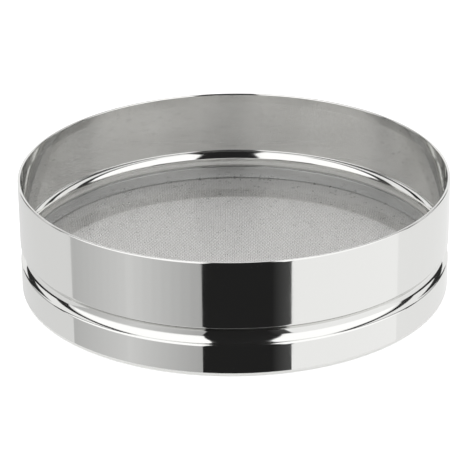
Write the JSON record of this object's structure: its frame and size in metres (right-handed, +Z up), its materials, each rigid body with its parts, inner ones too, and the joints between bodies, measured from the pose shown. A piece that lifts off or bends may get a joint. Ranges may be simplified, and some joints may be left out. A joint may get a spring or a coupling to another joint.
{
  "type": "tamis drum sieve",
  "caption": "Round steel drum sieve: a deep hoop with a folded rim, an inward bead and a turned-in foot, and a woven wire cloth held near the foot by two strip rings.",
  "frame": {"origin": "centre of the foot, on the table", "axes": "+Z up along the drum's axis, towards the rim; -Y towards the camera of the picture"},
  "size_m": [0.3, 0.3, 0.082],
  "materials": {
    "drum": "stainless steel strip, mirror polished",
    "rings": "stainless steel strip, bright rolled",
    "wire": "drawn stainless steel wire, plain weave"
  },
  "bodies": {
    "root": {"drum_hoop": "drum", "tension_ring": "rings", "support_ring": "rings", "warp_wires": "wire", "weft_wires": "wire"}
  },
  "joints": []
}
